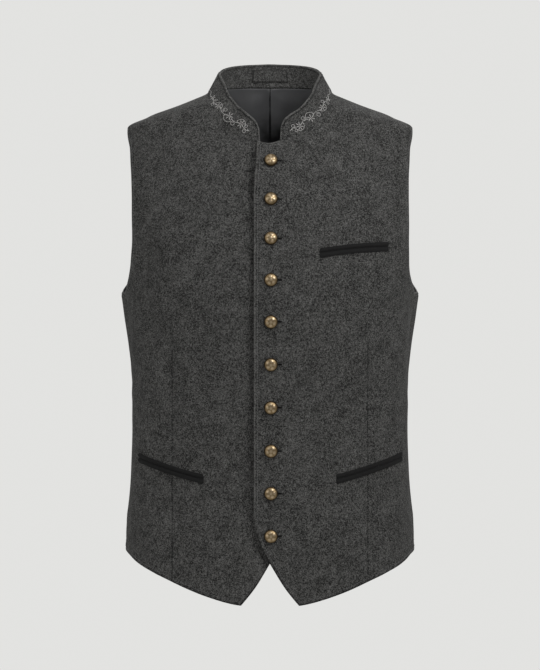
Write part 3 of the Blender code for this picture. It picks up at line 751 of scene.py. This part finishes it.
def lap_height(points, node):
    """The lapping edge stands off a little, and the cloth beside it sinks."""
    if node not in LAPS:
        return np.zeros(len(points))
    across, half_width, height = LAPS[node]
    level = points[:, 2] / MM
    below = np.clip((LAP_TOP - level) / LAP_FADE, 0.0, 1.0)
    turned = LAP_SLOPE * (np.hypot(np.clip(LAP_TURN - level, 0.0, None), LAP_ROUND) - LAP_ROUND)
    bell = np.exp(-((points[:, 0] / MM - across - turned) / half_width) ** 2)
    deep = 1.0 + LAP_DEEP * np.exp(-((level - LAP_DEEP_AT) / LAP_DEEP_HALF) ** 2)
    return height * bell * below * deep * (points[:, 1] < 0) * MM


def crease(made, node):
    """Moves a shell along the outward field by the creases and the lap."""
    points = corners(made.data)
    lift = crease_height(points) + lap_height(points, node)
    set_corners(made.data, points + outward_field(points) * lift[:, None])


print("creases:", len(CREASES))

# %% [markdown]
# ## The wool panels and the lining
#
# Two fronts and two backs make the body, and a satin back lining lies inside. Each shell stands
# for its imported solid, so it replaces it and rides on the one body.

# %% Panels
WOOL_WALL = 2.2 * MM
LINING_WALL = 0.9 * MM
COLLAR_WALL = 1.5 * MM
PATCH_WALL = 0.8 * MM
# Each row: panel, cloth, wall, smoothing level, finish, and how wide, long and large it was cut.
PANELS = (
    ("front", "wool", WOOL_WALL, 3, wool, (0.30, 0.66), 0.1405),
    ("back", "wool", WOOL_WALL, 3, wool, (0.30, 0.62), 0.130),
    ("lining", "satin", LINING_WALL, 2, satin, (0.30, 0.62), 0.128),
)
COLLAR = (
    ("collar_outer", "wool", COLLAR_WALL, 3, collar_wool, (0.03, 0.43), 0.0127),
    ("collar_inner", "wool", COLLAR_WALL, 3, inner_wool, (0.03, 0.43), 0.0125),
    ("collar_patch", "wool", PATCH_WALL, 3, patch_wool, (0.0178, 0.0478), 0.00085),
)


def finish_piece(made, finish, *nodes):
    """Gives a piece its material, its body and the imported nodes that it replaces."""
    made.data.materials.clear()
    made.data.materials.append(finish)
    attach(made, "root")
    if nodes:
        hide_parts(*nodes)
    return made


shells = {}
rims = {}
cloths = {}


def add_cloth(node, cloth, thick, levels, finish, flat, area, creased=True):
    """Makes the shell of one cut piece and keeps it with its rim and its cloth faces."""
    shell = smooth_shell(node + "_" + cloth, welded(node, thick), levels)
    if creased:
        crease(shell, node)
    rims[node], distance = set_edge_distance(shell, node)
    cloths[node] = roll_rim(shell, thick, distance)
    finish_piece(shell, finish, node)
    shells[node] = shell
    print(shell.name, len(shell.data.polygons), "faces, rim", len(rims[node][0]))


for panel, *row in PANELS:
    for side_name in ("left", "right"):
        add_cloth(panel + "_" + side_name, *row)

# %% [markdown]
# ## The collar
#
# The stand collar has an outer and an inner layer of wool, sewn together along its free edge. A
# small plain patch is sewn on inside at the back.

# %% Collar layers and patch
for row in COLLAR:
    add_cloth(*row, creased=False)

# %% [markdown]
# ## Sewing
#
# Thread is swept along short strands: a stitch rises out of the cloth, lies on it and dips in
# again. All strands of a row are splines of one bevelled curve, turned into one mesh. A stitch
# line is the rim moved inwards on the surface, with the stitches set along it at equal steps.

# %% Stitch helpers
STITCH_LENGTH = 2.9 * MM
STITCH_STEP = 3.6 * MM
STITCH_RADIUS = 0.26 * MM
STITCH_FLAT = 0.6
STITCH_RISE = 0.7
STITCH_TIP = 0.7
INSET_KEPT = 0.9
SHORT_RUN = 4
FORWARD = Vector((0.0, 1.0, 0.0))
IN_FRONT = -0.4


def surface_of(node, facing=1):
    """A search tree over the faces of a shell's outer side, or of its inner side."""
    mesh = shells[node].data
    shown = [
        tuple(face.vertices) for face, cloth in zip(mesh.polygons, cloths[node])
        if cloth and face.normal.xy.dot((face.center - BODY_AXIS).xy) * facing > 0
    ]
    return BVHTree.FromPolygons([vertex.co.copy() for vertex in mesh.vertices], shown)


def from_front(tree, x, z):
    """The spot of a surface that the camera sees at a place across and a level, with its normal."""
    spot, normal, _, _ = tree.ray_cast(Vector((x, IN_FRONT, z)), FORWARD)
    return spot, normal


def measured(path):
    """The length along a path up to each of its points."""
    return np.concatenate([[0.0], np.cumsum(np.linalg.norm(np.diff(path, axis=0), axis=1))])


def evenly(path, step):
    """Points at equal steps along a path."""
    length = measured(path)
    places = np.arange(step / 2, length[-1], step)
    return np.stack([np.interp(places, length, path[:, k]) for k in range(3)], axis=1)


def rim_inside(rim, tree, inset):
    """The free stretches of a rim, moved inwards over the surface by an inset."""
    loop, free = rim
    ring = np.array(loop)
    count = len(ring)
    moved = []
    for number in range(count):
        ahead = Vector(ring[(number + 2) % count] - ring[number - 2]).normalized()
        _, normal, _, _ = tree.find_nearest(Vector(ring[number]))
        moved.append((Vector(ring[number]), normal.cross(ahead)))
    centre = Vector(ring.mean(axis=0))
    inwards = sum((centre - spot).dot(way) for spot, way in moved)
    reach = math.copysign(inset, inwards)
    first = 0 if all(free) else next(number for number in range(count) if not free[number])
    order = [(first + step) % count for step in range(count)] + [first]
    runs = [[]]
    for number in order:
        if not free[number]:
            runs.append([])
            continue
        spot, way = moved[number]
        near, _, _, _ = tree.find_nearest(spot + way * reach)
        if np.linalg.norm(ring - np.array(near), axis=1).min() > inset * INSET_KEPT:
            runs[-1].append(tuple(near))
    return [run for run in runs if len(run) > SHORT_RUN]


def stitch(spot, along, normal, length, radius):
    """One stitch: its points and the thickness of the thread at each."""
    half = along * length / 2
    flat = half * STITCH_FLAT
    up = normal * radius
    rise = up * STITCH_RISE
    tip = radius * STITCH_TIP
    points = (spot - half - up, spot - flat + rise, spot + flat + rise, spot + half - up)
    return points, (tip, radius, radius, tip)


def thread_piece(name, strands, finish):
    """Sweeps all strands into one mesh object with its finish."""
    wire = bpy.data.curves.new(name, "CURVE")
    wire.dimensions = "3D"
    wire.bevel_depth = MM
    wire.bevel_resolution = 1
    wire.use_fill_caps = True
    for points, radii in strands:
        spline = wire.splines.new("POLY")
        spline.points.add(len(points) - 1)
        for corner, spot, radius in zip(spline.points, points, radii):
            corner.co = (*spot, 1.0)
            corner.radius = radius / MM
    holder = in_scene(name + "_curve", wire)
    graph = bpy.context.evaluated_depsgraph_get()
    mesh = bpy.data.meshes.new_from_object(holder.evaluated_get(graph))
    bpy.data.objects.remove(holder)
    bpy.data.curves.remove(wire)
    mesh.name = name
    mesh.shade_smooth()
    return finish_piece(in_scene(name, mesh), finish)


def stitch_row(path, tree, step=STITCH_STEP, length=STITCH_LENGTH, radius=STITCH_RADIUS):
    """Stitches along a path over a surface."""
    spots = evenly(np.array(path), step)
    ways = np.gradient(spots, axis=0)
    row = []
    for spot, way in zip(spots, ways):
        near, normal, _, _ = tree.find_nearest(Vector(spot))
        row.append(stitch(near, Vector(way).normalized(), normal, length, radius))
    return row


# %% Topstitching of the panels and the collar
surfaces = {}
for node in (*PANEL_NODES, "collar_outer"):
    surfaces[node] = surface_of(node)
    on_collar = node == "collar_outer"
    inset = COLLAR_STITCH if on_collar else STITCH_FROM_EDGE
    row = []
    for path in rim_inside(rims[node], surfaces[node], inset):
        row += stitch_row(path, surfaces[node])
    thread_piece("topstitching_" + node, row, dark_thread if on_collar else sewing_thread)
    print("topstitching of", node, len(row), "stitches")

# %% [markdown]
# The patch is sewn on along three sides. Its top side, by the collar's edge, shows no stitches.

# %% Stitches round the patch
PATCH_TOP = 3.0 * MM
PATCH_STEP = 2.4 * MM
PATCH_STITCH = 1.7 * MM
PATCH_THREAD = 0.24 * MM
patch_face = surface_of("collar_patch", facing=-1)
path = rim_inside(rims["collar_patch"], patch_face, PATCH_INSET)[0]
row = stitch_row(path, patch_face, PATCH_STEP, PATCH_STITCH, PATCH_THREAD)
top = max(points[0].z for points, _ in row)
row = [(points, radii) for points, radii in row if points[0].z < top - PATCH_TOP]
thread_piece("patch_stitching", row, dark_thread)
print("patch stitches:", len(row))

# %% [markdown]
# ## Embroidery on the collar
#
# A light vine runs up each side of the collar: a waving stem with star flowers, curled tendrils,
# leaves and knots, all in raised satin stitch. The middle line of the vine is a short table of
# places in front view. Flowers and tendrils are then set along it by their distance from its
# front end, in the surface's own directions, so that they lie flat on the cloth. The thread gets
# thinner towards the back of the neck.

# %% Embroidery
# Each place: across and level, in millimetres, as all sizes in the tables below.
VINE = (
    (25, -33), (32, -29), (39, -23), (47, -17.5), (55.5, -11), (63, -3.5),
    (70, 5), (74.5, 14), (76.5, 25),
)
VINE_STEP = 0.7 * MM
VINE_SMOOTHING = 12
VINE_WAVE = 1.3 * MM
VINE_WAVE_LENGTH = 21.0 * MM
VINE_THIN = 0.35
STEM_RADIUS = 0.26 * MM
STEM_RISE = 0.15 * MM
# Each flower: distance, petals and reach.
FLOWERS = ((15.5, 7, 6), (37, 6, 5.6), (60, 6, 4.8), (80, 5, 4.2))
PETAL_TURN = 0.2
PETAL_RISE = 0.16 * MM
PETAL_PLACES = (0.20, 0.38, 0.6, 0.82, 1.0)
PETAL_RADII = (0.16, 0.40, 0.50, 0.40, 0.12)
KNOT_RISE = 0.2 * MM
KNOT_SHIFTS = (-0.4, 0.0, 0.4)
KNOT_RADII = (0.2, 0.45, 0.2)
# Each tendril: distance, side, reach, turns, and the angle in degrees where it starts.
TENDRILS = (
    (6.5, 1, 2.9, 1.2, -90), (7.5, -1, 2.5, 1.1, -90), (16, -1, 7.2, 0.42, 200),
    (26.5, 1, 3.4, 1.25, -90), (37, 1, 7, 0.42, 200), (48, -1, 3.3, 1.25, -90),
    (60, -1, 6.2, 0.42, 200), (68, 1, 3, 1.2, -90), (71, -1, 2.5, 1.1, -90),
)
TENDRIL_STEPS = 26
TENDRIL_TAPER = 0.58
TENDRIL_RISE = 0.14 * MM
TENDRIL_RADIUS = 0.32
TENDRIL_THIN = 0.10
ARC_TURNS = 0.6
CURL_GAP = 0.5
# Each leaf: distance, side, lean and length.
LEAVES = (
    (1, 1, 20, 3.6), (2, -1, 35, 3), (22, -1, 60, 3.4), (31, 1, 55, 3),
    (43, 1, 60, 3.2), (53.5, -1, 50, 3), (65, -1, 55, 2.8), (75, 1, 45, 2.8),
    (85, 1, 20, 2.8), (85, -1, 20, 2.8),
)
LEAF_RISE = 0.08 * MM
LEAF_PLACES = (0.0, 0.3, 0.65, 1.0)
LEAF_RADII = (0.15, 0.42, 0.38, 0.1)


class Vine:
    """The middle line of one side's vine on the collar, with its directions."""

    def __init__(self, tree, side):
        self.tree = tree
        seen = [from_front(tree, side * x * MM, z * MM)[0] for x, z in VINE]
        path = evenly(np.array([spot for spot in seen if spot is not None]), VINE_STEP)
        for _ in range(VINE_SMOOTHING):
            path[1:-1] = (path[:-2] + path[1:-1] * 2 + path[2:]) / 4
        self.path = path
        self.length = measured(path)

    def at(self, distance):
        """The point of the line at a distance from its front end."""
        return Vector([np.interp(distance, self.length, self.path[:, k]) for k in range(3)])

    def place(self, distance, along_by, aside_by, rise):
        """A point beside the line, on the cloth and raised by a little."""
        spot, normal, _, _ = self.tree.find_nearest(self.at(distance))
        along = (self.at(distance + MM) - self.at(distance - MM)).normalized()
        aside = normal.cross(along).normalized()
        near, normal, _, _ = self.tree.find_nearest(spot + along * along_by + aside * aside_by)
        return near + normal * rise

    def wave(self, distance):
        """How far the waving stem lies beside the line."""
        return VINE_WAVE * math.sin(distance / VINE_WAVE_LENGTH * 2 * math.pi)


def petal_strands(vine, distance, count, reach):
    """A star flower: slim satin petals round an open heart with a knot."""
    strands = []
    middle = vine.wave(distance)
    for number in range(count):
        angle = 2 * math.pi * (number + PETAL_TURN) / count
        points = []
        for share in PETAL_PLACES:
            along_by = math.cos(angle) * reach * share * MM
            aside_by = middle + math.sin(angle) * reach * share * MM
            points.append(vine.place(distance, along_by, aside_by, PETAL_RISE))
        strands.append((points, [radius * MM for radius in PETAL_RADII]))
    knot = [vine.place(distance, shift * MM, middle, KNOT_RISE) for shift in KNOT_SHIFTS]
    strands.append((knot, [radius * MM for radius in KNOT_RADII]))
    return strands


def tendril_strand(vine, distance, side, reach, turns, start):
    """A curl that leaves the stem and winds inwards, or a wide arc round a flower."""
    points = []
    radii = []
    wide = turns < ARC_TURNS
    centre = 0.0 if wide else reach + CURL_GAP
    for step in range(TENDRIL_STEPS + 1):
        share = step / TENDRIL_STEPS
        angle = math.radians(start) + share * turns * 2 * math.pi
        size = reach * (1.0 if wide else 1.0 - TENDRIL_TAPER * share)
        aside = side * (centre + (abs(math.sin(angle)) if wide else math.sin(angle)) * size)
        points.append(vine.place(distance, math.cos(angle) * size * MM, aside * MM, TENDRIL_RISE))
        radii.append((TENDRIL_RADIUS - TENDRIL_THIN * share) * MM)
    return points, radii


def leaf_strand(vine, distance, side, lean, length):
    """A short slim leaf that leans away from the stem."""
    turn = math.radians(lean)
    points = []
    for share in LEAF_PLACES:
        along_by = math.cos(turn) * length * share * MM
        aside_by = side * math.sin(turn) * length * share * MM + vine.wave(distance)
        points.append(vine.place(distance, along_by, aside_by, LEAF_RISE))
    return points, [radius * MM for radius in LEAF_RADII]


for side, side_name in ((-1, "right"), (1, "left")):
    vine = Vine(surfaces["collar_outer"], side)
    stem = [vine.place(distance, 0.0, vine.wave(distance), STEM_RISE)
            for distance in np.arange(0.0, vine.length[-1], VINE_STEP)]
    strands = [(stem, [STEM_RADIUS] * len(stem))]
    for distance, count, reach in FLOWERS:
        strands += petal_strands(vine, distance * MM, count, reach)
    for distance, way, reach, turns, start in TENDRILS:
        strands.append(tendril_strand(vine, distance * MM, way, reach, turns, start))
    for distance, way, lean, length in LEAVES:
        strands.append(leaf_strand(vine, distance * MM, way, lean, length))
    length = vine.length[-1]
    thinned = []
    for points, radii in strands:
        reach = (points[0] - Vector(vine.path[0])).length / length
        thinned.append((points, [radius * (1.0 - VINE_THIN * min(1.0, reach)) for radius in radii]))
    piece = thread_piece("collar_embroidery_" + side_name, thinned, light_thread)
    print(piece.name, len(strands), "strands over", round(length / MM, 1), "mm")

# %% [markdown]
# ## Buttons
#
# The buttons are cast brass domes with a beaded rim and a plain rosette. A half section is spun
# about the axis, and the relief is raised on it by angle and radius. How dark the brass is at each
# vertex is stored for the brass finish: patina in the hollows, painted shade towards the rim of
# the dome, and a darker back.

# %% Buttons
def add_object(name, shape):
    """Turns a finished bmesh into an object at the origin with soft shading."""
    mesh = bpy.data.meshes.new(name)
    shape.to_mesh(mesh)
    shape.free()
    mesh.shade_smooth()
    return in_scene(name, mesh)


BUTTON_RADIUS = 8.5 * MM
BUTTON_SHANK = 1.6 * MM
BUTTON_SHANK_RADIUS = 2.4 * MM
BUTTON_DOME = 4.1 * MM
BUTTON_RIM = 0.9 * MM
BUTTON_SIDES = 84
DOME_RINGS = 18
DOME_FROM = 0.9
DOME_LEAN = 0.4
DOME_SUNK = 0.22 * MM
BACK_RIM = 0.94
BACK_DARK = 0.6
RIM_BULGE = 0.5
RIM_BEADS = 28
PETALS = 5
BUTTON_TURN = 0.83
# Where each form of the relief lies and how far it reaches, as shares of the radius.
BEAD_AT = 0.84
BEAD_HALF = 0.06
PETAL_AT = 0.50
PETAL_HALF = 0.19
PETAL_BLUNT = 0.8
HEART_HALF = 0.15
HEART_EDGE = 0.18
# Painted shade darkens the dome towards its rim, from this share of the radius on.
DOME_RIM_SHADE_FROM = 0.76
DOME_RIM_SHADE_OVER = 0.22
BEAD_HEIGHT = 0.20
PETAL_HEIGHT = 0.28
HEART_HEIGHT = 0.22
RAISED_CLEAR = 1.6
LOW_DARK = 0.42
DOME_RIM_SHADE = 0.66


def button_axis(node):
    """The seat and the outward axis of a packed button, from its own corners."""
    points = corners(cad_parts[node].data)
    centre = points.mean(axis=0)
    axis = np.linalg.svd(points - centre)[2][2]
    axis = axis if axis[1] < 0 else -axis
    depth = (points - centre) @ axis
    return Vector(centre + axis * depth.min()), Vector(axis)


def relief_of(radius, angle, turned):
    """Height of the ornament over the dome, and how dark it is there: patina in the hollows,
    painted shade near the rim.
    """
    share = radius / BUTTON_RADIUS
    bead = max(0.0, math.cos(angle * RIM_BEADS)) * math.exp(-((share - BEAD_AT) / BEAD_HALF) ** 2)
    wave = 0.5 + 0.5 * math.cos((angle + turned) * PETALS)
    petal = wave ** PETAL_BLUNT * math.exp(-((share - PETAL_AT) / PETAL_HALF) ** 2)
    heart = math.exp(-(share / HEART_HALF) ** 2)
    low = max(0.0, 1.0 - RAISED_CLEAR * (bead + petal + heart)) * (share > HEART_EDGE)
    near_edge = min(1.0, max(0.0, (share - DOME_RIM_SHADE_FROM) / DOME_RIM_SHADE_OVER))
    height = (BEAD_HEIGHT * bead + PETAL_HEIGHT * petal + HEART_HEIGHT * heart) * MM
    # Patina darkens the hollows; painted shade darkens the dome near its rim.
    return height, min(1.0, LOW_DARK * low + DOME_RIM_SHADE * near_edge)


def make_button(name, node, turned):
    """Spins one button, raises its relief and sets it on the seat of its packed button."""
    seat, axis = button_axis(node)
    profile = [
        (0.0, 0.0), (BUTTON_SHANK_RADIUS, 0.0), (BUTTON_SHANK_RADIUS, BUTTON_SHANK),
        (BUTTON_RADIUS * BACK_RIM, BUTTON_SHANK),
        (BUTTON_RADIUS, BUTTON_SHANK + BUTTON_RIM * RIM_BULGE),
    ]
    for step in range(DOME_RINGS + 1):
        angle = math.pi / 2 * step / DOME_RINGS
        profile.append((BUTTON_RADIUS * math.cos(angle),
                        BUTTON_SHANK + BUTTON_RIM + BUTTON_DOME * math.sin(angle)))
    shape = bmesh.new()
    verts = [shape.verts.new((radius, 0.0, height)) for radius, height in profile]
    for first, second in zip(verts, verts[1:]):
        shape.edges.new((first, second))
    bmesh.ops.spin(
        shape, geom=shape.verts[:] + shape.edges[:], cent=(0, 0, 0), axis=(0, 0, 1),
        dvec=(0, 0, 0), angle=2 * math.pi, steps=BUTTON_SIDES, use_merge=True,
    )
    bmesh.ops.remove_doubles(shape, verts=shape.verts, dist=WELD)
    bmesh.ops.recalc_face_normals(shape, faces=shape.faces)
    patina_and_shade = shape.verts.layers.float.new("patina_and_shade")
    for vert in shape.verts:
        if vert.co.z > BUTTON_SHANK + BUTTON_RIM * DOME_FROM:
            angle = math.atan2(vert.co.y, vert.co.x)
            raised, depth = relief_of(math.hypot(vert.co.x, vert.co.y), angle, turned)
            out = Vector((vert.co.x * DOME_LEAN, vert.co.y * DOME_LEAN, BUTTON_RADIUS))
            vert.co += out.normalized() * (raised - DOME_SUNK)
            vert[patina_and_shade] = depth
        else:
            vert[patina_and_shade] = BACK_DARK
    turn = Vector((0, 0, 1)).rotation_difference(axis).to_matrix().to_4x4()
    bmesh.ops.transform(shape, matrix=Matrix.Translation(seat) @ turn, verts=shape.verts)
    finish_piece(add_object(name, shape), brass, node)


button_seats = []
for number in range(1, 11):
    node = "button_%02d" % number
    make_button("brass_" + node, node, number * BUTTON_TURN)
    button_seats.append(button_axis(node))
print("buttons:", len(button_seats))

# %% [markdown]
# Each buttonhole runs from under its button towards the wearer's left. Short purl stitches in
# dark thread edge it above and below. The slit between them is a sunk, nearly black strand
# without sheen: painted shade in the opening.

# %% Buttonholes
HOLE_START = 1.0 * MM
HOLE_END = 13.8 * MM
HOLE_STITCH = 0.9 * MM
HOLE_STEP = 0.6 * MM
HOLE_THREAD = 0.26 * MM
SLIT_HALF = 0.6 * MM
SLIT_SUNK = 0.35
purls = []
slits = []
for seat, axis in button_seats:
    slit = []
    for shift in np.arange(HOLE_START, HOLE_END, HOLE_STEP):
        spot, normal = from_front(surfaces["front_left"], seat.x + shift, seat.z)
        slit.append(spot - normal * SLIT_HALF * SLIT_SUNK)
        for side in (-1, 1):
            level = seat.z + side * (SLIT_HALF + HOLE_STITCH / 2)
            spot, normal = from_front(surfaces["front_left"], seat.x + shift, level)
            up = (Vector((0, 0, 1)) - normal * normal.z).normalized()
            purls.append(stitch(spot, up, normal, HOLE_STITCH, HOLE_THREAD))
    slits.append((slit, [SLIT_HALF] * len(slit)))
thread_piece("buttonhole_stitches", purls, dark_thread)
thread_piece("buttonhole_slits", slits, slit_shade)
print("purl stitches:", len(purls))

# %% [markdown]
# ## Pocket lips
#
# Each pocket mouth has two lips of folded black felt with a dark line between them. The copy of
# the solid is smoothed, which rounds the folds, and ruffled a little so that it isn't too straight.

# %% Lips
LIP_LEVELS = 3
LIP_RUFFLE = 0.18 * MM
RUFFLE_SIZE = 7.0 * MM
VALLEY_DEPTH = 1.1 * MM
VALLEY_HALF = 1.5 * MM
for pocket in ("pocket_chest", "pocket_left", "pocket_right"):
    nodes = [pocket + "_upper_lip", pocket + "_lower_lip"]
    pair = [smooth_shell(node + "_felt", welded(node, 0.0), LIP_LEVELS) for node in nodes]
    places = [corners(lip.data) for lip in pair]
    for number, (node, lip) in enumerate(zip(nodes, pair)):
        points = places[number]
        other = KDTree(len(places[1 - number]))
        for index, spot in enumerate(places[1 - number]):
            other.insert(spot, index)
        other.balance()
        apart = np.array([other.find(spot)[2] for spot in points])
        valley = VALLEY_DEPTH * np.exp(-(apart / VALLEY_HALF) ** 2)
        ruffle = np.array([noise.noise(Vector(spot) / RUFFLE_SIZE) for spot in points]) * LIP_RUFFLE
        lift = crease_height(points) + ruffle - valley
        set_corners(lip.data, points + outward_field(points) * lift[:, None])
        finish_piece(lip, felt, node)
    print("lips:", *nodes)
